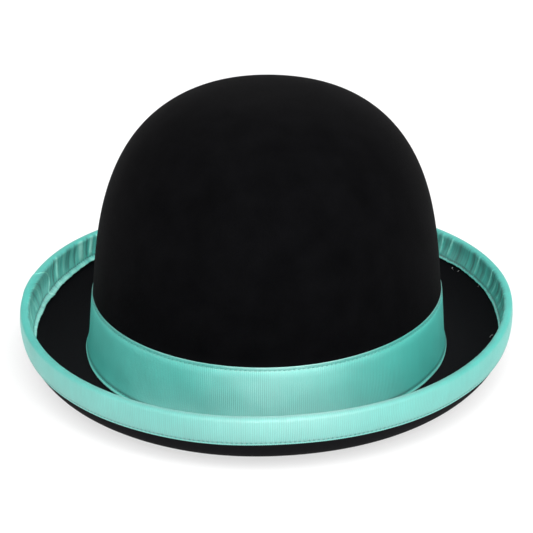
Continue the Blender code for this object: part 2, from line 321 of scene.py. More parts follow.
def felt_paint():
    paint = Paint("black_felt", (0.004, 0.004, 0.0042), 0.9, sheen=0.009)
    paint.set("Sheen Roughness", 0.3)
    paint.set("Specular IOR Level", 0.03)
    cloud = paint.noise(70, 4)
    fibre = paint.noise(1500, 4, stretch=(1, 1, 0.45))
    fine = paint.noise(4200, 2)
    tone = paint.plus(paint.times(cloud, 0.6), paint.times(fibre, 0.4))
    shades = (0.0006, 0.0006, 0.0008, 1), (0.0020, 0.0020, 0.0024, 1)
    height = paint.split(paint.add("TexCoord", output=3), 2)
    # Below the band, on the brim's faces, the felt is painted lighter than the crown: painted light
    painted_brim_light = paint.spread(height, 0.020, 0.036, 1, 0)
    crown_tone = paint.blend(paint.spread(tone, 0.3, 0.7, 0, 1), *shades)
    paint.colour(painted_brim_light, crown_tone, (0.0052, 0.0052, 0.0060, 1))
    paint.set("Roughness", paint.spread(fibre, 0.3, 0.7, 0.85, 1.0))
    paint.relief(fine, 0.00006, paint.bump(fibre, 0.00012))
    return paint.material


def ribbon_paint(name, dark, light, pale):
    """Grosgrain. Its shade attribute carries painted light: near 0 in the seams and hollows (painted shade),
    near 1 on the crests, and more where pale (painted highlight).
    """
    paint = Paint(name, light[:3], 0.5, sheen=0.03)
    paint.set("Sheen Roughness", 0.4)
    paint.set("IOR", 2.6)
    paint.set("Anisotropic", 0.95)
    paint.set("Anisotropic Rotation", 0.25)
    paint.set("Tangent", paint.add("Tangent", direction_type="UV_MAP", uv_map="weave"))
    shade = paint.add("Attribute", output=2, attribute_name="shade")
    uv = paint.weave()
    across = paint.split(uv, 1)
    warp = paint.threads(across, 0.00023)
    dye = paint.noise(60, 3, places=uv)
    slub = paint.noise(900, 2, stretch=(1, 0.06, 1), places=uv)
    tone = paint.plus(shade, paint.times(paint.math("SUBTRACT", dye, 0.5), 0.22))
    tone = paint.plus(tone, paint.times(paint.math("SUBTRACT", slub, 0.5), 0.16))
    tone = paint.plus(tone, paint.times(paint.math("SUBTRACT", warp, 0.6), 0.08))
    # Shade above 1 mixes towards the pale colour: a painted highlight
    painted_highlight = paint.spread(tone, 1.0, 1.8, 0, 1)
    paint.colour(painted_highlight, paint.blend(tone, dark, light), pale)
    # Matt along the fold over the brim's edge, which would else show a bright line
    rising, falling = paint.spread(across, 0, 0.0024, 0, 1), paint.spread(across, 0.0034, 0.0058, 1, 0)
    fold = paint.times(rising, falling)
    gloss = paint.spread(warp, 0, 1, 0.41, 0.33)
    paint.set("Roughness", paint.plus(gloss, paint.times(fold, 0.4)))
    paint.relief(warp, 0.00002, paint.bump(slub, 0.00003))
    return paint.material


def thread_paint(name, light, dark, roughness=0.5):
    """Two-ply sewing thread, with its twist."""
    paint = Paint(name, light[:3], roughness, sheen=0.2)
    uv = paint.weave()
    slant = paint.plus(paint.split(uv, 0), paint.times(paint.split(uv, 1), 0.8))
    ply = paint.threads(slant, 0.00045)
    hair = paint.noise(2500, 2)
    tone = paint.times(ply, paint.spread(hair, 0.3, 0.7, 0.7, 1))
    paint.colour(tone, dark, light)
    paint.relief(ply, 0.00006)
    return paint.material


def leather_paint():
    paint = Paint("tan_leather", (0.34, 0.19, 0.10), 0.45)
    where = paint.add("TexCoord", output=3)
    cells = {"Vector": where, "Scale": 1300.0}
    grain = paint.add("TexVoronoi", cells, feature="DISTANCE_TO_EDGE")
    crease = paint.spread(grain, 0, 0.18, 0, 1)
    cloud = paint.noise(45, 4)
    pores = paint.noise(2600, 2)
    wear_and_painted_shade = paint.add("Attribute", output=2, attribute_name="shade")
    clouded = paint.spread(cloud, 0.25, 0.75, 0.25, 1)
    tone = paint.times(clouded, paint.spread(crease, 0, 1, 0.7, 1))
    # The shade attribute holds darker tooled lines, seam and edges, and painted light and shade from the
    # dents
    tone = paint.times(tone, wear_and_painted_shade)
    paint.colour(tone, (0.13, 0.055, 0.022, 1), (0.42, 0.235, 0.12, 1))
    paint.set("Roughness", paint.spread(paint.plus(cloud, pores), 0.6, 1.4, 0.36, 0.58))
    paint.relief(crease, 0.00006, paint.bump(pores, 0.00003))
    return paint.material


def satin_paint():
    paint = Paint("black_satin", (0.02, 0.02, 0.024), 0.3, sheen=0.3)
    paint.set("Sheen Roughness", 0.3)
    paint.set("Specular IOR Level", 0.8)
    cloud = paint.noise(90, 3)
    floats = paint.noise(2200, 2, stretch=(1, 1, 0.12))
    shades = (0.012, 0.012, 0.015, 1), (0.026, 0.026, 0.032, 1)
    paint.colour(paint.spread(cloud, 0.3, 0.7, 0, 1), *shades)
    paint.set("Roughness", paint.spread(floats, 0.3, 0.7, 0.30, 0.42))
    paint.relief(floats, 0.000008)
    return paint.material


def tape_paint(name, dark, light, pitch, roughness=0.8, sheen=0.3):
    """Plain woven tape."""
    paint = Paint(name, light[:3], roughness, sheen=sheen)
    where = paint.add("TexCoord", output=3)
    weft = paint.threads(paint.split(where, 2), pitch)
    warp = paint.threads(paint.plus(paint.split(where, 0), paint.split(where, 1)), pitch)
    cloth = paint.times(weft, warp)
    fluff = paint.noise(1800, 3)
    woven = paint.spread(cloth, 0, 1, 0.35, 1)
    tone = paint.times(woven, paint.spread(fluff, 0.3, 0.7, 0.75, 1))
    paint.colour(tone, dark, light)
    paint.relief(cloth, 0.00006, paint.bump(fluff, 0.00003))
    return paint.material


def label_paint():
    """White satin tape with a plain woven line along each edge."""
    paint = Paint("white_label", (0.80, 0.80, 0.78), 0.45, sheen=0.2)
    shade = paint.add("Attribute", output=2, attribute_name="shade")
    uv = paint.weave()
    along, across = paint.split(uv, 0), paint.split(uv, 1)
    weft = paint.threads(across, 0.00016)
    warp = paint.threads(paint.plus(along, paint.times(across, 0.25)), 0.0002)
    cloth = paint.plus(paint.times(weft, 0.6), paint.times(warp, 0.4))
    soil = paint.noise(160, 3)
    woven = paint.spread(cloth, 0, 1, 0.8, 1)
    tone = paint.times(woven, paint.spread(soil, 0.3, 0.7, 0.9, 1))
    shades = (0.08, 0.36, 0.31, 1), (0.84, 0.84, 0.82, 1)
    paint.colour(paint.times(tone, shade), *shades)
    paint.relief(cloth, 0.00003)
    return paint.material


def reed_paint():
    paint = Paint("clear_reed", (0.72, 0.71, 0.66), 0.3)
    streaks = paint.noise(700, 3, stretch=(1, 1, 3))
    paint.colour(streaks, (0.62, 0.61, 0.55, 1), (0.80, 0.79, 0.75, 1))
    paint.set("Roughness", paint.spread(streaks, 0.3, 0.7, 0.22, 0.4))
    paint.relief(streaks, 0.00003)
    return paint.material


def add_piece(name, places, faces, paint, slot, uv=None, shade=None, body="hat", settled=True):
    """Makes a smooth piece that faces outwards, and hangs it on its body."""
    if settled:
        places = settle(places)
    mesh = bpy.data.meshes.new(name)
    mesh.from_pydata(places.tolist(), [], faces)
    if uv is not None:
        corners = np.empty(len(mesh.loops), dtype=np.int32)
        mesh.loops.foreach_get("vertex_index", corners)
        mesh.uv_layers.new(name="weave").data.foreach_set("uv", uv[corners].ravel())
    if shade is not None:
        mesh.attributes.new("shade", "FLOAT", "POINT").data.foreach_set("value", shade.ravel())
    work = bmesh.new()
    work.from_mesh(mesh)
    bmesh.ops.recalc_face_normals(work, faces=work.faces[:])
    work.to_mesh(mesh)
    work.free()
    mesh.shade_smooth()
    mesh.materials.append(paint)
    piece = bpy.data.objects.new(name, mesh)
    bpy.context.scene.collection.objects.link(piece)
    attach(piece, body)
    return piece


def grid_faces(rows, columns, wrap_rows=False, wrap_columns=False, start=0):
    """Quads over a grid of points that is numbered row by row."""
    r = np.arange(rows if wrap_rows else rows - 1)[:, None]
    c = np.arange(columns if wrap_columns else columns - 1)[None, :]
    below, beside = (r + 1) % rows, (c + 1) % columns
    corners = [r * columns + c, r * columns + beside, below * columns + beside, below * columns + c]
    return (np.stack(corners, axis=-1).reshape(-1, 4) + start).tolist()


def kept(count, step):
    """Every step-th index, with the last one."""
    return sorted({*range(0, count, step), count - 1})


def two_sided(name, outer, inner, rows, columns, paint, slot, uv, shade, ring=False, **more):
    """A sheet with a fine outer face and a coarser inner face, closed all round its edges.

    rows and columns are the outer face's indices that the inner face's points lie under.
    """
    height, width = outer.shape[:2]
    first = height * width
    faces = grid_faces(height, width, wrap_columns=ring)
    faces += grid_faces(len(rows), len(columns), wrap_columns=ring, start=first)

    def over(r, c):
        return r * width + c % width

    def under(i, j):
        return first + i * len(columns) + j % len(columns)

    spans = list(zip(columns, columns[1:]))
    if ring:
        spans.append((columns[-1], width))
    for i, r in ((0, 0), (len(rows) - 1, height - 1)):
        for j, (a, b) in enumerate(spans):
            faces.append([over(r, c) for c in range(a, b + 1)] + [under(i, j + 1), under(i, j)])
    if not ring:
        for j, c in ((0, 0), (len(columns) - 1, width - 1)):
            for i, (a, b) in enumerate(zip(rows, rows[1:])):
                faces.append([over(r, c) for r in range(a, b + 1)] + [under(i + 1, j), under(i, j)])

    def flat(values, size):
        picked = values[np.ix_(rows, columns)]
        return np.concatenate((values.reshape(-1, size), picked.reshape(-1, size)))

    places = np.concatenate((outer.reshape(-1, 3), inner.reshape(-1, 3)))
    uv = None if uv is None else flat(uv, 2)
    shade = None if shade is None else flat(shade, 1)
    return add_piece(name, places, faces, paint, slot, uv, shade, **more)


def weave_uv(along, across, shape):
    """The distances along and across a piece, as its texture coordinates."""
    return np.stack((np.broadcast_to(along, shape), np.broadcast_to(across, shape)), axis=-1)


def stitch_row(name, seam, angles, paint, slot, radius, dive, sides=6, rings=7, **more):
    """Separate stitches along a seam, one for each pair of angles.

    seam(angle, across, over) gives the points. Each stitch rises out of the cloth and dives back.
    """
    share = np.linspace(0, 1, rings)[None, :, None]
    around = full_turn(sides)[None, None, :]
    starts, ends = angles[:, 0, None, None], angles[:, 1, None, None]
    body = np.sin(share * math.pi) ** 0.35
    thick = radius * (0.35 + 0.65 * body)
    lift = radius * 0.9 * body - dive * (1 - body)
    angle = starts + (ends - starts) * share
    places = seam(angle, thick * np.cos(around), lift + thick * np.sin(around))
    shape = (len(angles), rings, sides)
    length = share * 0.0018 + np.arange(len(angles))[:, None, None] * 0.0007
    uv = weave_uv(length, around * radius, shape).reshape(-1, 2)
    return capped(name, np.broadcast_to(places, (*shape, 3)), paint, slot, uv=uv, **more)


def stitch_angles(place, start, end, pitch, share, seed):
    """The first and last angle of each stitch on a line round the hat."""
    marks, _ = even_angles(place, start, end, pitch)
    step = np.diff(marks)
    random = np.random.default_rng(seed)
    first = marks[:-1] + step * random.uniform(0.0, 0.08, len(step))
    last = first + step * (share + random.uniform(-0.05, 0.05, len(step)))
    return np.stack((first, last), axis=-1)


def closed_dome(name, rows, first_tip, last_tip, paint, slot, **more):
    """A body swept round the hat, with a point at either end."""
    count, columns = len(rows), len(rows[0])
    places = np.concatenate((np.stack(rows).reshape(-1, 3), [first_tip], [last_tip]))
    faces = grid_faces(count, columns, wrap_columns=True)
    for first, tip in ((0, count * columns), ((count - 1) * columns, count * columns + 1)):
        faces += [[first + i, first + (i + 1) % columns, tip] for i in range(columns)]
    return add_piece(name, places, faces, paint, slot, **more)


def capped(name, rings, paint, slot, **more):
    """Tubes with flat ends, from an array of tubes, rings, sides and coordinates."""
    tubes, count, sides = rings.shape[:3]
    one = grid_faces(count, sides, wrap_columns=True)
    one += [list(range(sides)), list(range((count - 1) * sides, count * sides))]
    faces = [[i + k * count * sides for i in face] for k in range(tubes) for face in one]
    return add_piece(name, rings.reshape(-1, 3), faces, paint, slot, **more)


# The felt

# Where the rows stop following the dome's rise, in degrees, and go down the wall evenly
DOME_FOOT = 13

def felt_rows(angle, depth):
    """Rows from near the top of the crown down to the curl's start."""
    rows = [wall(angle, dome_height(rise), depth) for rise in np.radians(np.linspace(88.4, DOME_FOOT, 48))]
    heights = np.linspace(dome_height(math.radians(DOME_FOOT)) - 0.002, BREAK_RADIUS + 0.001, 26)
    rows += [wall(angle, height, depth) for height in heights]
    rows += [break_fillet(angle, share, depth) for share in np.linspace(0, 1, 9)]
    start = curl(angle, -brim_slope(angle), depth)
    rows += [rows[-1] + (start - rows[-1]) * share for share in np.linspace(0, 1, 9)[1:-1]]
    return rows


def curl_rows(angle, depth, shares):
    start, end = -brim_slope(angle), between(CURL_END, angle)
    return [curl(angle, start + (end - start) * share, depth) for share in shares]


def make_felt(paint):
    angle = full_turn(400)
    rows = felt_rows(angle, 0) + curl_rows(angle, 0, np.linspace(0, 1, 22))
    rows += [nose(angle, turn, 0) for turn in np.linspace(0, math.pi, 9)]
    rows += curl_rows(angle, FELT, np.linspace(1, 0, 22)) + felt_rows(angle, FELT)[::-1]
    piece = closed_dome("felt_shell", rows, peak(0), peak(FELT), paint, "felt")
    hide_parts("felt_body")


# The crown band


def rib_height(count, samples, profile):
    """The height of the ribs at each of the columns, from 0 to 1."""
    return np.array([profile[i % samples] for i in range(count)])


BAND_START = BACK
BAND_END = BACK + TURN + math.radians(6)
BAND_SEAM = 0.0016
# Keeps the band's weave clear of the range where the binding's folded edge is matt
BAND_WEAVE = 0.050
BAND_ROWS = np.array(
    (0, 0.25, 0.55, 0.9, 1.25, 1.6, 1.95, 2.4, 3.2, 4.6, 6.6, 9, 12, 15, 18, 21, 24, 26, 27.2)
    + (28.05, 28.4, 28.75, 29.1, 29.45, 29.75, 30)
) / 1000


FLARE_ANGLES = np.radians((0, 35, 90, 150, 180, 200, 225, 250, 270, 300, 330, 360))
FLARES = np.array((1.3, 1.5, 2.0, 1.6, 1.4, 1.9, 2.8, 2.7, 2.5, 1.9, 1.4, 1.3)) / 1000


def band_line(angle):
    return wall(angle, 0.012, -0.002)


def band_at(angle, across, over):
    """Points over the felt under the band; across is up from the band's lower edge."""
    top = between(BAND_TOP, angle)
    height = BAND_BOTTOM + (top - BAND_BOTTOM) * across / BAND_WIDTH
    flare = np.interp(angle % TURN, FLARE_ANGLES, FLARES)
    above = np.maximum(height - BAND_BOTTOM, 0)
    slope, lip = np.exp(-((above / FLARE_HEIGHT) ** 1.3)), np.exp(-((above / LIP_HEIGHT) ** 1.8))
    share = 0.5 + 0.35 * smooth(-np.sin(angle), 0.3, 0.9)
    flare = flare * (share * slope + (1 - share) * lip)
    flare = flare * (1 + waves(angle, 21, ((7, 0.05), (13, 0.05))))
    slack = 0.00008 + waves(angle + across * 14, 22, ((9, 0.00005), (23, 0.00004)))
    slack = slack * (1 - smooth(across, 0.024, 0.028))
    lap = smooth(angle, BAND_START + TURN - 0.09, BAND_START + TURN - 0.01) * (CLOTH + 0.0002)
    return wall(angle, height, -(over + flare + np.maximum(slack, 0) + lap))


def make_band(ribbon, thread):
    angle, length = even_angles(band_line, BAND_START, BAND_END, RIB / 4)
    ribs = rib_height(len(angle), 4, (0, 0.8, 1, 0.8))[None, :]
    across = BAND_ROWS[:, None]
    edge = np.minimum(across, BAND_WIDTH - across)
    seam = hump(edge, BAND_SEAM, 0.00030)
    along = np.linspace(0, length, len(angle))[None, :]
    pull = 0.35 + 0.65 * smooth(np.sin(along * TURN / BAND_STITCH), -0.4, 0.7)
    rib_share = 0.35 + 0.65 * smooth(edge, 0.0006, 0.0022)
    ribbed = RIB_HEIGHT * ribs * rib_share * (1 - 0.6 * seam)
    bead = 0.00006 * hump(edge, 0.0006, 0.0005)
    fold = 0.00025 * smooth(along, length - 0.0022, length - 0.0014)
    press = 0.00010 * smooth(across, 0.0255, 0.0285)
    over = UNDER + CLOTH + ribbed + bead - press - 0.00016 * seam * pull + fold
    over = over - 0.00008 * hump(edge, 0, 0.00018)
    stray = 0.00012 * ribs * (hump(across, BAND_WIDTH, 0.0002) - hump(across, 0, 0.0002))
    outer = band_at(angle[None, :], across + stray, over)
    rows, columns = kept(len(across), 4), kept(len(angle), 8)
    inner = band_at(angle[None, columns], across[rows], np.full((len(rows), 1), UNDER))
    # Lighter along the lower edge and darker just above it: partly the selvedge, partly a painted highlight
    # on the lip and painted shade in the groove
    low = 0.95 * hump(across, 0.0006, 0.0009) - 0.45 * hump(across, 0.0021, 0.0007)
    # A painted highlight below the top stitching, and painted shade on the very top edge
    high = 0.14 * hump(across, BAND_WIDTH - 0.0026, 0.0016) - 0.12 * hump(across, BAND_WIDTH, 0.0006)
    # Painted light on the rib crests, and painted shade in the dashed stitch groove
    shade = 0.50 + 0.22 * ribs * rib_share + low + high - 0.45 * seam * pull
    shape = outer.shape[:2]
    uv = weave_uv(along, across + BAND_WEAVE, shape)
    shade = np.broadcast_to(shade, shape)
    band = two_sided("grosgrain_band", outer, inner, rows, columns, ribbon, "grosgrain", uv, shade)
    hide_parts("hat_band")

    start = BAND_START + 0.02
    for name, node, middle, seed in (
        ("band_top_stitches", "band_top_thread", BAND_WIDTH - BAND_SEAM, 31),
        ("band_bottom_stitches", "band_bottom_thread", BAND_SEAM, 32),
    ):
        def seam_at(angle, side, rise, middle=middle):
            return band_at(angle, middle + side, UNDER + CLOTH - 0.00016 + rise)

        pairs = stitch_angles(band_line, start, start + TURN, BAND_STITCH, 0.62, seed)
        row = stitch_row(name, seam_at, pairs, thread, "ribbon_thread", STITCH_RADIUS, STITCH_DIVE)
        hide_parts(node)
    return length


# The brim's binding

BINDING_START = math.radians(177.5)
BINDING_END = math.radians(-192)
# Round the binding's inner edge: the angle in degrees, how far back from the brim's edge it lies
# and how far its seam lies from it, in millimetres
STRIP = (
    (-15, 13.3, 1.5), (10, 13.2, 1.4), (18, 12.5, 1.3), (27, 12.0, 1.2), (36, 11.8, 1.2), (50, 11.6, 1.3),
    (90, 12.0, 1.6), (125, 11.6, 2.2), (146, 11.6, 2.4), (153, 12.4, 2.5), (160, 13.4, 2.7),
    (167, 14.3, 2.9), (171, 14.2, 2.8), (182, 14.6, 2.0), (192, 14.8, 1.6), (215, 13.7, 1.5),
    (270, 13.1, 1.5), (345, 13.3, 1.5),
)


def strip_value(angle, column):
    """A length from the table above, at this angle and in metres."""
    table = np.array(STRIP)
    return np.interp((angle + 0.3) % TURN - 0.3, np.radians(table[:, 0]), table[:, column] / 1000)


def strip_back(angle):
    """How far back from the brim's edge the binding's inner edge lies."""
    strengths = (17, 0.08), (29, 0.08), (43, 0.06), (97, 0.07), (173, 0.06), (261, 0.05)
    wander = waves(angle, 41, strengths) / 1000
    return wander + strip_value(angle, 1)


def strip_width(angle):
    """How far the inner seam lies from the binding's inner edge."""
    return strip_value(angle, 2)


def outside_width(angle):
    """How far down the outer face the binding reaches, past its fold over the brim's edge."""
    return BINDING_OUTSIDE + waves(angle, 44, ((6, 0.00008), (15, 0.00006)))


def rim_line(angle):
    return brim(angle, 0.0, 0.0)


def binding_at(angle, across, over):
    """Points over the felt; across is below 0 on the upper face, and past EDGE on the outer face."""
    turn = np.clip(across / EDGE, 0, 1) * math.pi
    back = np.where(across < 0, -across, across - EDGE)
    inside, outside = brim(angle, back, -over), brim(angle, back, FELT + over)
    tip = nose(angle, turn, over)
    where = np.broadcast_to(across, tip.shape[:-1])[..., None]
    return np.where(where < 0, inside, np.where(where > EDGE, outside, tip))


# The brim's mean radius at its rim, in millimetres
RIM_RADIUS = 132
# Each tuck in the binding's inner half: its angle at the rim and its slant, in degrees, its width and
# its height, in millimetres. A height below 0 raises nothing and is only a painted shade, as of a hollow;
# a height above 0 rises, with a painted highlight on its crest.
TUCKS = (
    (162.0, 0.8, 1.2, 0.90), (163.7, 1.2, 0.8, -0.75), (158.1, 1.1, 1.0, 0.28), (155.7, 1.3, 2.6, -0.45),
    (152.4, 0.9, 1.0, -0.50), (149.8, 0.6, 2.4, 0.85), (147.0, 1.0, 1.0, -0.75), (145.3, 1.2, 1.6, 0.80),
    (42.2, 1.7, 1.0, 0.65), (38.6, 1.7, 1.8, -0.25), (33.4, 1.8, 0.9, 0.35), (31.4, 1.2, 1.2, -0.35),
    (28.8, 1.9, 0.9, 0.60), (25.8, 1.4, 1.6, -0.35), (23.2, 2.1, 0.7, 0.40), (19.6, 2.4, 0.8, 0.60),
    (17.2, 3.0, 1.0, -0.40), (14.4, 3.6, 0.8, 0.55), (11.6, 4.0, 1.1, -0.40), (9.3, 4.4, 0.7, 0.55),
    (6.9, 4.6, 0.9, -0.40), (4.7, 4.6, 0.8, 0.55), (2.1, 4.6, 0.9, -0.40), (-0.5, 4.5, 0.8, 0.45),
    (175.6, -2.4, 1.0, -0.50), (178.5, -3.0, 1.0, 0.45), (181.5, -4.2, 1.1, -0.55), (185.0, -5.0, 1.0, 0.50),
)


def tuck_list():
    """The tucks above, and others of the same kind over the rest of the brim."""
    random = np.random.default_rng(43)
    tucks = list(TUCKS)
    for start, end in ((46, 143), (189, 357)):
        place, sign = start, 1
        while place < end:
            size = sign * random.uniform(0.2, 0.7)
            slant = random.uniform(0.5, 3.5) * (1 if math.cos(math.radians(place)) > 0 else -1)
            tucks.append((place, slant, random.uniform(0.8, 1.6), size))
            place += random.uniform(1.6, 3.6)
            sign = -sign
    return tucks


def tuck_shape(angle, back, seam_back):
    """The tucks' rise over the felt, and their painted light and shade, from -1 in a hollow to 1 on a crest.
    """
    rise, tone = 0, 0
    for place, slant, width, height in tuck_list():
        centre = math.radians(place) + math.radians(slant) * back / 0.011
        step = ((angle - centre + math.pi) % TURN - math.pi) * RIM_RADIUS
        crest = hump(step, 0, width)
        rise = rise + max(height, 0) * crest / 1000
        tone = tone + height / 0.8 * smooth(crest, 0.15, 0.85)
    # Painted light and shade in fine slanting streaks along the inner wall
    for count, strength in ((71, 0.06), (113, 0.08), (167, 0.08), (241, 0.08), (331, 0.08), (457, 0.07)):
        tone = tone + waves(angle - back * 3, count, ((count, strength),))
    fade = 1 - smooth(back, seam_back - 0.0022, seam_back - 0.0002)
    tone = tone * smooth(back, -0.0032, -0.0004) * (0.35 + 0.65 * fade)
    return rise * smooth(back, 0.0002, 0.0030) * fade, tone


# Where the top end of the binding lies, by the distance past the brim's edge
END_ACROSS = np.array((-14.8, -13.2, -10.8, -8.7, -6.4, -3.9, -1.5, 0, 1.5, 3, 6, 20)) / 1000
END_ANGLES = np.radians((168.0, 169.1, 169.3, 167.9, 167.2, 167.4, 168.4, 169.6, 171.5, 173.2, 174.0, 174.6))


def lie_of_end(angle, across):
    """Moves the ribbon's last stretch so that it ends on its own slanted, curved line."""
    last = np.interp(across, END_ACROSS, END_ANGLES) - TURN
    share = smooth(-angle, -BINDING_END - 0.50, -BINDING_END)
    return angle + (last - BINDING_END) * share


def make_binding(ribbon, thread):
    angle, length = even_angles(rim_line, BINDING_START, BINDING_END, RIB / 3)
    angle = angle[None, :]
    count = angle.shape[1]
    ribs = rib_height(count, 3, (0, 0.9, 0.9))[None, :]
    along = np.linspace(0, length, count)[None, :]
    edge_back, strip = strip_back(angle), strip_width(angle)
    seam_back = edge_back - strip
    backs = [edge_back, edge_back - 0.0003, edge_back - strip * 0.45, seam_back + 0.0004, seam_back]
    backs += [seam_back - 0.0004, seam_back - 0.0009]
    backs += [seam_back * share - 0.0009 * share for share in (0.86, 0.72, 0.58, 0.44, 0.30, 0.17, 0.07)]
    rows = [-back for back in backs]
    rows += [np.full_like(angle, EDGE * share) for share in (0, 0.14, 0.29, 0.43, 0.57, 0.71, 0.86, 1)]
    outside = outside_width(angle)
    for inset in (0.0100, 0.0078, 0.0055, 0.0034, 0.0020, 0.0014, 0.0010, 0.0006, 0.0003, 0):
        rows.append(EDGE + outside - inset)
    across = np.concatenate(rows)
    inner_edge = edge_back + across
    outer_edge = EDGE + outside - across
    edge = np.minimum(inner_edge, outer_edge)
    seam = hump(outer_edge, OUTER_SEAM, 0.00035) + hump(inner_edge, strip, 0.00048)
    pull = 0.45 + 0.55 * smooth(np.sin(along * TURN / BINDING_STITCH), -0.4, 0.7)
    rib_share = (0.35 + 0.65 * smooth(edge, 0.0005, 0.0018)) * (1 - 0.6 * seam)
    free = smooth(strip - inner_edge, 0, strip) * smooth(-across, 0, 0.004)
    wave = 1 + waves(angle, 45, ((11, 0.18), (19, 0.16), (31, 0.12)))
    lift = free * (0.45 * strip * wave)
    tucks, tone = tuck_shape(angle, np.maximum(-across, -0.004), seam_back)
    end_line = np.interp(across, END_ACROSS, END_ANGLES)
    under_lap = smooth(angle, end_line - 0.008, end_line + 0.003)
    gone = -angle
    inside = smooth(-across, -0.001, 0.001)
    lap = smooth(gone, -BINDING_START + TURN - 0.09, -BINDING_START + TURN - 0.005)
    lap = lap * (0.00024 + 0.00012 * inside)
    fold = 0.00025 * smooth(along, length - 0.0015, length - 0.0008) * inside
    ribbed = RIB_HEIGHT * ribs * rib_share * (1 - under_lap)
    over = UNDER + CLOTH - 0.00014 * under_lap + ribbed + lift + tucks * (1 - under_lap) + lap + fold
    over = over - 0.00016 * seam * pull - 0.00008 * hump(edge, 0, 0.0002)
    scallop = 0.00016 * ribs * (hump(outer_edge, 0, 0.0003) - hump(inner_edge, 0, 0.0003))
    placed = lie_of_end(angle, across)
    outer = binding_at(placed, across + scallop, over)
    keep_rows, keep_columns = kept(len(rows), 3), kept(count, 6)
    pick = np.ix_(keep_rows, keep_columns)
    below = (over - CLOTH - ribbed)[pick]
    inner = binding_at(placed[pick], across[pick], np.maximum(below, UNDER))
    east = smooth(np.cos(angle), 0, 0.7)
    inward = smooth(-across, -0.0034, -0.0004)
    # What goes by direction here only follows the picture's light: the real cloth is taken to be even
    # Painted light: lighter to either side and on the rib crests, painted shade in the rib hollows
    shade = 0.40 + 0.13 * np.abs(np.cos(angle)) + 0.20 * ribs * rib_share
    # Painted highlights along both edges of the ribbon
    shade = shade + 0.20 * hump(edge, 0.0003, 0.0006) + 0.20 * hump(outer_edge, 0.0002, 0.0005)
    # On the inner wall: painted light, less of it to the east, with the tucks' and streaks' painted light
    # and shade
    shade = shade + inward * (0.46 - 0.36 * east + 1.0 * tone)
    front = smooth(-np.sin(angle), 0, 0.8)
    # Painted shade over the fold round the brim's edge, most at the front
    shade = shade - (0.04 + 0.30 * front) * hump(across, 0.0014, 0.0026)
    # Painted shade in the stitch grooves, in dashes between the stitches
    shade = shade - (0.55 + 0.45 * inside) * seam * pull
    # Painted light on the strip between the inner edge and its seam
    shade = shade + 0.12 * inside * smooth(strip - inner_edge, 0, 0.0006)
    # A painted highlight along the ribbon's end, strongest on the inner wall
    shown = 0.8 + 1.2 * smooth(-across, -0.0045, -0.0015)
    shade = np.maximum(shade, shown * smooth(along, length - 0.0018, length - 0.0010))
    uv = weave_uv(along, across, across.shape)
    keep = keep_rows, keep_columns
    piece = two_sided("grosgrain_binding", outer, inner, *keep, ribbon, "grosgrain", uv, shade)
    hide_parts("brim_binding")

    start, end = BINDING_START - 0.06, BINDING_START - TURN - 0.04

    def seam_at(place, angle, side, rise):
        return binding_at(angle, place + side, UNDER + CLOTH - 0.00012 + rise + np.zeros_like(side))

    def outer_seam(angle, side, rise):
        return seam_at(EDGE + outside_width(angle) - OUTER_SEAM, angle, side, rise)

    def inner_seam(angle, side, rise):
        return seam_at(strip_width(angle) - strip_back(angle), angle, side, rise)

    for name, node, line, seed in (
        ("binding_outer_stitches", "binding_outer_thread", outer_seam, 33),
        ("binding_inner_stitches", "binding_inner_thread", inner_seam, 34),
    ):
        pairs = stitch_angles(rim_line, end, start, BINDING_STITCH, 0.58, seed)
        row = stitch_row(name, line, pairs, thread, "ribbon_thread", STITCH_RADIUS, STITCH_DIVE)
        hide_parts(node)


def make_thread_ends(paint):
    """A few short ends of fluff, on the felt beside the binding: angle, back distance and heading."""
    ends = ((0.701, 0.0132, 0.4), (0.653, 0.0129, 1.9), (0.465, 0.0136, 2.6), (0.012, 0.0188, 0.2))
    random = np.random.default_rng(51)
    share = np.linspace(0, 1, 9)[:, None]
    around = full_turn(5)[None, :]
    tubes = []
    for angle, back, heading in ends:
        bend = random.uniform(-2.5, 2.5)
        reach = random.uniform(0.0014, 0.0022) * share
        turn = heading + bend * share
        thick = 0.00015 * (1 - 0.6 * share)
        along = reach * np.cos(turn) / 0.13 + thick * np.cos(around) / 0.13
        rise = 0.0001 + 0.0008 * share * (1.2 - share) + thick * np.sin(around)
        tubes.append(brim(angle + along, back + reach * np.sin(turn), -rise))
    capped("lint", np.stack(tubes), paint, "ribbon_thread")


# Inside the crown

LEATHER_FACE = SWEATBAND_DEPTH + LEATHER
SWEATBAND_SEAM = SWEATBAND_BOTTOM + 0.0016
SATIN = 0.00025
SATIN_DEPTH = FELT + 0.0005
JOIN_HALF_GAP = math.radians(0.3)


def open_turn(count):
    return np.linspace(BACK + JOIN_HALF_GAP, BACK + TURN - JOIN_HALF_GAP, count)


def leather_lean(angle, height):
    """How far the sweatband has relaxed inwards, away from the felt."""
    sway = 0.0006 + waves(angle, 61, ((2, 0.0002), (3, 0.00018), (5, 0.00012), (8, 0.00006)))
    return smooth(height, 0.012, SWEATBAND_TOP) * np.maximum(sway, 0)


def leather_at(angle, height, rise):
    """Points over the sweatband's visible face."""
    return wall(angle, height, LEATHER_FACE + leather_lean(angle, height) + rise)


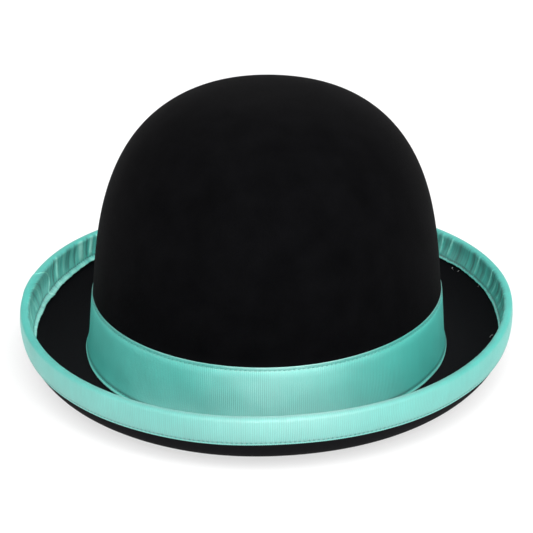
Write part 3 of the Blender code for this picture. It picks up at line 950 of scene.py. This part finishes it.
def make_sweatband(leather, thread):
    angle = open_turn(440)[None, :]
    height = np.array(
        (3.0, 3.2, 3.6, 4.2, 4.6, 5.0, 5.6, 7, 9, 12, 15, 18, 21, 24, 27, 30, 32.2, 33.2, 33.6, 34)
        + (34.5, 34.9, 35.3, 36.2, 37, 37.5, 37.8, 38)
    )[:, None] / 1000
    edge = np.minimum(height - SWEATBAND_BOTTOM, SWEATBAND_TOP - height)
    tool = hump(height, 0.0336, 0.00028) + 0.8 * hump(height, 0.0349, 0.00028)
    seam = hump(height, SWEATBAND_SEAM, 0.0004)
    dents = waves(angle + height * 20, 62, ((21, 0.00003), (34, 0.00003), (55, 0.00002)))
    rise = dents - 0.00016 * tool - 0.00020 * seam - 0.0003 * hump(edge, 0, 0.00025)
    outer = leather_at(angle, height, rise)
    rows, columns = kept(len(height), 4), kept(angle.shape[1], 4)
    inner = leather_at(angle[:, columns], height[rows], np.full((len(rows), 1), -LEATHER))
    # Darker along the tooled lines, the seam and the edges; the dents give painted light where the leather
    # bulges in and painted shade where it sinks
    shade = 1 - 0.45 * tool - 0.4 * seam - 0.35 * hump(edge, 0, 0.0004) + dents * 2500
    shade = np.broadcast_to(shade, outer.shape[:2])
    slot = "sweatband_leather"
    band = two_sided("leather_sweatband", outer, inner, rows, columns, leather, slot, None, shade)
    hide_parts("sweatband")

    def seam_at(angle, side, rise):
        return leather_at(angle, SWEATBAND_SEAM + side, rise - 0.0001)

    def hidden_line(angle):
        return wall(angle, 0.0046, LEATHER_FACE)

    pairs = stitch_angles(hidden_line, BACK + 0.01, BACK + TURN - 0.01, 0.0030, 0.72, 63)
    row = stitch_row("sweatband_stitches", seam_at, pairs, thread, "ribbon_thread", 0.00022, 0.0002)
    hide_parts("sweatband_thread")

    def zigzag(place, side, rise):
        """A zigzag up the butted ends, one crossing for each whole step of place."""
        swing = 0.0021 * (2 * np.abs(place % 2 - 1) - 1)
        up = 0.0062 + 0.00135 * place + side
        return leather_at(BACK + swing / HALF_WIDTH, up, rise)

    steps = np.arange(22.0)
    crossings = np.stack((steps + 0.02, steps + 0.98), axis=-1)
    stitch_row("sweatband_join_stitches", zigzag, crossings, thread, "ribbon_thread", 0.00024, 0.0002)


def make_welt(tape):
    angle = open_turn(560)[None, :]
    middle = SWEATBAND_DEPTH + LEATHER / 2
    top = SWEATBAND_BOTTOM - 0.0003
    rounds = np.linspace(0, math.pi, 9)

    def section(radius):
        heights = [top, (top + REED_HEIGHT) / 2] + [REED_HEIGHT - radius * math.sin(t) for t in rounds]
        depths = [-radius, -radius] + [-radius * math.cos(t) for t in rounds]
        heights += [(top + REED_HEIGHT) / 2, top]
        return np.array(heights)[:, None], middle + np.array(depths + [radius, radius])[:, None]

    puckers = 1 + 0.03 * np.sin(angle * 190) + waves(angle, 64, ((37, 0.02), (61, 0.015)))
    heights, depths = section(REED_RADIUS + 0.0006)
    outer = wall(angle, heights, middle + (depths - middle) * puckers)
    rows, columns = kept(len(heights), 2), kept(angle.shape[1], 4)
    heights, depths = section(REED_RADIUS + 0.0003)
    inner = wall(angle[:, columns], heights[rows], depths[rows])
    piece = two_sided("welt_tape", outer, inner, rows, columns, tape, "black_tape", None, None)
    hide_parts("sweatband_welt")


BOW_HEIGHT = 0.0120
BOW_LENGTH = 0.0122
BOW_MIDDLE = LEATHER_FACE + 0.0016


def bow_at(along, up, depth):
    """Points of the bow, by their distance to the side of the back seam and above the bow's middle."""
    return wall(BACK + along / HALF_WIDTH, BOW_HEIGHT + up, depth)


def make_bow(tape):
    share = np.linspace(0, 1, 49)
    out = np.sin(share * math.pi)
    reach = 0.0008 + (BOW_LENGTH - 0.0008) * out
    depth = -0.0010 * np.cos(share * math.pi) * (0.45 + 0.55 * out)
    half = 0.0017 + 0.0026 * np.sin(np.clip(reach / BOW_LENGTH, 0, 1) * math.pi / 2)
    slope_along, slope_depth = np.gradient(reach), np.gradient(depth)
    length = np.hypot(slope_along, slope_depth)
    normal = np.stack((slope_depth / length, -slope_along / length))
    across = np.linspace(-1, 1, 13)[:, None]
    crease = 0.00025 * np.cos(across * 5) * (1 - out) ** 2
    for name, side in (("bow_loop_left", -1), ("bow_loop_right", 1)):
        faces = []
        for thick in (0.0002, -0.0002):
            along = side * (reach + normal[0] * thick)
            deep = BOW_MIDDLE + depth + normal[1] * thick + crease
            faces.append(bow_at(along + 0 * across, across * half, deep))
        rows, columns = list(range(13)), list(range(49))
        two_sided(name, faces[0], faces[1], rows, columns, tape, "black_tape", None, None)
    turn = full_turn(28)[None, None, :]
    width = np.linspace(-1, 1, 11)[None, :, None]
    bulge = 1 - 0.22 * width**2 + 0.03 * np.cos(width * 14)
    up = 0.0023 * bulge * np.cos(turn)
    rings = bow_at(0.0018 * width + 0 * turn, up, BOW_MIDDLE + 0.0016 * bulge * np.sin(turn))
    knot = capped("bow_knot", rings, tape, "black_tape")
    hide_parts("sweatband_bow")


def make_lining(satin, cord):
    seam = dome_height(LINING_SEAM_RISE)
    folds = 104
    angle = full_turn(folds * 8)[None, :]
    plain, pleated = np.linspace(LINING_BOTTOM, 0.044, 7), np.linspace(0.049, seam - 0.0003, 20)
    height = np.concatenate((plain, pleated))[:, None]
    share = smooth(height, 0.040, seam)
    size = 0.00022 + 0.00135 * share * (1 + waves(angle, 71, ((5, 0.12), (11, 0.15), (19, 0.12))))
    drift = waves(angle + height * 3, 72, ((7, 0.5), (13, 0.5), (23, 0.35)))
    fold = (0.5 + 0.5 * np.sin(folds * angle + drift)) ** 1.4
    bag = 0.0012 * share * (1 - smooth(height, seam - 0.014, seam))
    depth = SATIN_DEPTH + size * fold + bag
    outer = wall(angle, height, depth)
    rows, columns = kept(len(height), 3), list(range(0, folds * 8, 4))
    inner = wall(angle[:, columns], height[rows], (depth - SATIN)[np.ix_(rows, columns)])
    side = two_sided("satin_side", outer, inner, rows, columns, satin, "satin", None, None, ring=True)
    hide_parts("lining_side")

    rises = np.radians(np.linspace(37.6, 88, 34))
    angle = angle[0, ::2]

    def tip_row(rise, thick):
        centre = smooth(rise, 0.65, 1.5)
        pull = (1 - smooth(rise, 0.65, 0.95)) * 0.0004
        pull = pull * (1 + np.sin(52 * angle + waves(angle, 73, ((5, 0.9), (9, 0.8)))))
        return wall(angle, dome_height(rise), SATIN_DEPTH + 0.0016 * centre + pull - thick)

    rows = [tip_row(rise, 0) for rise in rises[::-1]] + [tip_row(rise, SATIN) for rise in rises[::3]]
    tips = peak(FELT + 0.0021), peak(FELT + 0.0018)
    tip = closed_dome("satin_tip", rows, *tips, satin, "satin")
    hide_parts("lining_tip")

    angle = full_turn(1100)[None, :]
    round_it = full_turn(12)[:, None]
    radius = 0.00078 * (1 + 0.17 * np.cos(2 * round_it - 230 * angle))
    depth = FELT + 0.0019 + radius * np.sin(round_it)
    places = wall(angle, seam + radius * np.cos(round_it), depth)
    faces = grid_faces(12, angle.shape[1], wrap_rows=True, wrap_columns=True)
    piping = add_piece("twisted_piping", places.reshape(-1, 3), faces, cord, "black_tape")
    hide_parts("lining_piping")


def woven_label(name, at, size, hem, paint, **more):
    """A label of satin tape. at(across, up, over) gives the points of its face."""
    across = np.linspace(-0.5, 0.5, 41)[None, :] * size[0]
    up = np.linspace(0, 1, 45)[:, None] * size[1]
    ends = np.minimum(up, size[1] - up)
    over = 0.00015 * (1 - smooth(ends, hem, hem + 0.0003)) if hem else 0 * up
    edge = np.minimum(size[0] / 2 - np.abs(across), ends)
    over = over + 0.00006 * hump(edge, 0.0003, 0.0003) + 0 * across
    rows, columns = kept(45, 4), kept(41, 4)
    inner = at(across[:, columns] + 0 * up[rows], up[rows] + 0 * across[:, columns], -0.0002)
    uv = weave_uv(across, up, over.shape)
    line = hump(np.abs(across), size[0] / 2 - 0.0016, 0.00035)
    shade = 1 - 0.75 * smooth(line, 0.2, 0.8) + 0 * up
    outer = at(across + 0 * up, up + 0 * across, over)
    return two_sided(name, outer, inner, rows, columns, paint, "label_tape", uv, shade, **more)


def make_labels(label, thread):
    low, high, middle = 0.0130, 0.0250, math.radians(105)

    def size_at(across, up, over):
        return leather_at(middle + across / HALF_WIDTH, low + up, 0.00045 + over)

    small = woven_label("size_tab", size_at, (0.0084, high - low), 0.0022, label)
    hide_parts("size_label")
    for name, height in (("size_tab_stitches_low", low + 0.0011), ("size_tab_stitches_high", high - 0.0011)):
        def line(place, side, rise, height=height):
            return leather_at(middle + place / HALF_WIDTH, height + side, 0.0006 + rise)

        starts = np.arange(5) * 0.0016 - 0.0038
        pairs = np.stack((starts, starts + 0.0012), axis=-1)
        stitch_row(name, line, pairs, thread, "label_tape", 0.00014, 0.00012)

    face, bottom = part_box("care_label_flap")[0][0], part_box("care_label_flap")[0][2]
    fold_low, fold_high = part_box("care_label_hem")[0][2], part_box("care_label_hem")[1][2]

    def hang(across, up, over, start):
        height = start + up
        drop = np.clip((fold_low - height) / (fold_low - bottom), 0, 1)
        curl = 0.0022 * drop**2.2 + 0.0005 * np.sin(across * 260) * drop
        x = face - over - curl
        return joined(x, across, height)

    def leaf_at(across, up, over):
        to_axis = 0.00012 * smooth(up, fold_low - bottom - 0.005, fold_low - bottom - 0.001)
        return hang(across, up, over - to_axis, bottom)

    def fold_at(across, up, over):
        return hang(across, up, over, fold_low + 0.0002)

    leaf_size = (0.024, fold_low - 0.0005 - bottom)
    leaf = woven_label("care_label_leaf", leaf_at, leaf_size, 0, label, body="care_label", settled=False)
    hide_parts("care_label_flap")
    fold_size = (0.024, fold_high - fold_low - 0.0002)
    fold = woven_label("care_label_fold", fold_at, fold_size, 0.0040, label, settled=False)
    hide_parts("care_label_hem")

    def hem_line(place, side, rise):
        return joined(face - 0.0002 - rise, place, fold_low + 0.0015 + side)

    starts = np.arange(12) * 0.0019 - 0.0114
    pairs = np.stack((starts, starts + 0.0014), axis=-1)
    stitch_row("care_label_stitches", hem_line, pairs, thread, "label_tape", 0.00015, 0.00012, settled=False)


# Camera, light and floor

CAMERA_AZIMUTH = math.radians(4.5)
CAMERA_ELEVATION = math.radians(20.6)
CAMERA_DISTANCE = 1.1448
CAMERA_ROLL = math.radians(0.2)
CAMERA_TARGET = Vector((-0.00045, -0.00004, 0.0427))
LENS = 158.3
LIGHT_TARGET = Vector((0, 0, 0.05))


def direction(azimuth, elevation):
    """The way to a camera or a light: azimuth 0 is in front, and a quarter turn is the +X side."""
    level = math.cos(elevation)
    return Vector((math.sin(azimuth) * level, -math.cos(azimuth) * level, math.sin(elevation)))


def aim(obj, back, roll=0.0):
    obj.rotation_mode = "QUATERNION"
    turned = back.to_track_quat("Z", "Y")
    obj.rotation_quaternion = turned @ Quaternion((0, 0, 1), roll)


def make_camera():
    data = bpy.data.cameras.new("camera")
    data.lens = LENS
    data.sensor_width = 36
    camera = bpy.data.objects.new("camera", data)
    back = direction(CAMERA_AZIMUTH, CAMERA_ELEVATION)
    camera.location = CAMERA_TARGET + back * CAMERA_DISTANCE
    aim(camera, back, CAMERA_ROLL)
    bpy.context.scene.collection.objects.link(camera)
    bpy.context.scene.camera = camera


def add_light(name, azimuth, elevation, distance, size, power):
    """A soft light aimed at the hat, from an azimuth and an elevation in degrees."""
    back = direction(math.radians(azimuth), math.radians(elevation))
    data = bpy.data.lights.new(name, "AREA")
    data.shape = "RECTANGLE"
    data.size, data.size_y = size
    data.energy = power
    light = bpy.data.objects.new(name, data)
    light.location = LIGHT_TARGET + back * distance
    aim(light, back)
    bpy.context.scene.collection.objects.link(light)


def make_studio():
    scene = bpy.context.scene
    scene.view_settings.view_transform = "Standard"
    world = bpy.data.worlds.new("studio")
    world.use_nodes = True
    world.node_tree.nodes["Background"].inputs[0].default_value = (1, 1, 1, 1)
    world.node_tree.nodes["Background"].inputs[1].default_value = 0.18
    scene.world = world
    add_light("front", 14, 17, 2.0, (2.1, 1.0), 35)
    add_light("left", -95, 40, 2.0, (2.6, 2.0), 14)
    add_light("right", 65, 55, 2.0, (2.2, 2.2), 54)
    add_light("fill", -42, 58, 2.0, (2.2, 2.0), 33)
    add_light("back", 168, 22, 2.0, (2.4, 1.0), 8)
    floor = bpy.data.meshes.new("floor")
    reach = 4.0
    corners = [(-reach, -reach, 0), (reach, -reach, 0), (reach, reach, 0), (-reach, reach, 0)]
    floor.from_pydata(corners, [], [(0, 1, 2, 3)])
    paint = Paint("pale_floor", (0.33, 0.33, 0.33), 0.9)
    paint.set("Specular IOR Level", 0.0)
    paint.set("Emission Color", (1, 1, 1, 1))
    paint.set("Emission Strength", 0.60)
    floor.materials.append(paint.material)
    piece = bpy.data.objects.new("floor", floor)
    scene.collection.objects.link(piece)


def main():
    make_camera()
    make_studio()
    felt = felt_paint()
    shades = (0.004, 0.08, 0.069, 1), (0.062, 0.548, 0.470, 1), (0.32, 0.85, 0.73, 1)
    ribbon = ribbon_paint("mint_grosgrain", *shades)
    thread = thread_paint("mint_thread", (0.06, 0.36, 0.31, 1), (0.02, 0.16, 0.14, 1))
    leather, satin, reed = leather_paint(), satin_paint(), reed_paint()
    tape = tape_paint("black_tape", (0.004, 0.004, 0.005, 1), (0.03, 0.03, 0.033, 1), 0.0004)
    cord = thread_paint("black_cord", (0.045, 0.045, 0.05, 1), (0.01, 0.01, 0.012, 1), 0.35)
    white = thread_paint("white_thread", (0.85, 0.85, 0.83, 1), (0.45, 0.45, 0.44, 1), 0.6)
    make_felt(felt)
    make_band(ribbon, thread)
    make_binding(ribbon, thread)
    make_thread_ends(white)
    make_sweatband(leather, thread)
    make_welt(tape)
    make_bow(tape)
    make_lining(satin, cord)
    make_labels(label_paint(), white)
    for node, paint in (("sweatband_reed", reed), ("sweatband_join_tape", tape)):
        bpy.data.objects[node].data.materials.clear()
        bpy.data.objects[node].data.materials.append(paint)


main()
